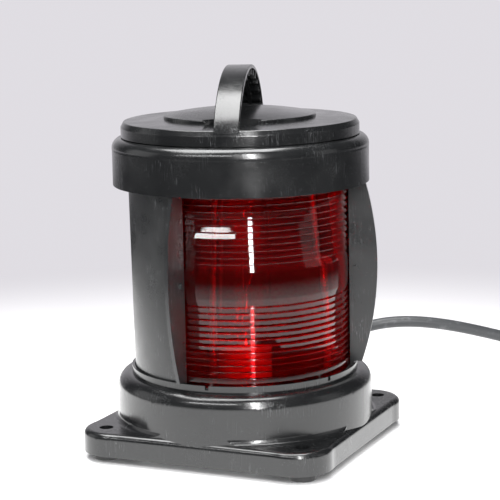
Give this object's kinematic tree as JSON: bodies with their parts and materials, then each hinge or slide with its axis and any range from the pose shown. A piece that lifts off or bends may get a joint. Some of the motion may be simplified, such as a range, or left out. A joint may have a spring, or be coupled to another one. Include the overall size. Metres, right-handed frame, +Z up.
{
  "type": "navigation light",
  "caption": "Single-deck red side light: drum lens behind a half-round screen with radial fins, lugged square base, bayonet lid with an arched handle, cable gland at the back.",
  "frame": {"origin": "centre of the four fixing holes, on the plane under the foot bushes", "axes": "+Z up along the lens axis; flange sides along X and Y; the light sector is centred near the (+X, -Y) corner; the cable leaves at +Y"},
  "size_m": [0.2743, 0.3437, 0.2767],
  "materials": {
    "housing": "semi-gloss black moulded plastic",
    "rubber": "matt black rubber",
    "steel": "stainless steel",
    "red_lens": "deep red transparent, polished",
    "clear_glass": "clear glass",
    "porcelain": "glazed white",
    "brass": "bright brass",
    "nickel": "nickel plate",
    "insulator": "black glass",
    "solder": "dull solder",
    "tungsten": "grey wire",
    "terminal_plastic": "off-white moulding",
    "brown_wire": "insulated wire",
    "blue_wire": "insulated wire",
    "gland_plastic": "black moulding",
    "cable_sheath": "matt black sheath"
  },
  "bodies": {
    "housing": {"base_housing": "housing", "bottom_cover": "housing", "rear_screen": "housing", "top_ring": "housing", "foot_bushes": "rubber", "bottom_cover_gasket": "rubber", "lower_lens_gasket": "rubber", "upper_lens_gasket": "rubber", "wire_grommet": "rubber", "gland_seal": "rubber", "bottom_cover_screws": "steel", "tie_rods": "steel", "tie_nuts": "steel", "tie_washers": "steel", "holder_screws": "steel", "terminal_block_screw": "steel", "fresnel_lens": "red_lens", "lamp_holder": "porcelain", "holder_sleeve": "brass", "holder_contact": "brass", "holder_terminals": "brass", "terminal_screws": "brass", "terminal_block": "terminal_plastic", "wire_brown": "brown_wire", "wire_blue": "blue_wire", "gland_body": "gland_plastic", "gland_locknut": "gland_plastic", "cable": "cable_sheath"},
    "lid_seal": {"lid_seal": "rubber"},
    "lid": {"lid": "housing", "handle": "housing", "handle_screws": "steel"},
    "lamp_foot": {"lamp_button": "solder"},
    "lamp": {"lamp_cap": "nickel", "lamp_insulator": "insulator", "lamp_glass": "clear_glass", "lamp_stem": "clear_glass", "lead_wires": "nickel", "filament": "tungsten"},
    "gland_ring": {"gland_thrust_ring": "gland_plastic"},
    "gland_nut": {"gland_nut": "gland_plastic"}
  },
  "joints": [
    {"name": "lid_lift", "type": "slide", "parent": "housing", "child": "lid_seal", "axis": [0, 0, 1], "range_m": [0, 0.12]},
    {"name": "lid_turn", "type": "hinge", "parent": "lid_seal", "child": "lid", "pos_m": [0, 0, 0.2277], "axis": [0, 0, 1], "range_deg": [-40, 0]},
    {"name": "lamp_rise", "type": "slide", "parent": "housing", "child": "lamp_foot", "axis": [0, 0, 1], "range_m": [0, 0.01825]},
    {"name": "lamp_unscrew", "type": "hinge", "parent": "lamp_foot", "child": "lamp", "pos_m": [0, 0, 0.0705], "axis": [0, 0, 1], "range_deg": [0, 1800]},
    {"name": "gland_ring_slide", "type": "slide", "parent": "housing", "child": "gland_ring", "axis": [0, 1, 0], "range_m": [0, 0.0061]},
    {"name": "gland_nut_turn", "type": "hinge", "parent": "gland_ring", "child": "gland_nut", "pos_m": [0, 0.101, 0.035], "axis": [0, 1, 0], "range_deg": [0, 1440]}
  ],
  "couplings": [
    {"joint": "lamp_rise", "follows": "lamp_unscrew", "m_per_rad": 0.00057773},
    {"joint": "gland_ring_slide", "follows": "gland_nut_turn", "m_per_rad": 0.00023873}
  ]
}
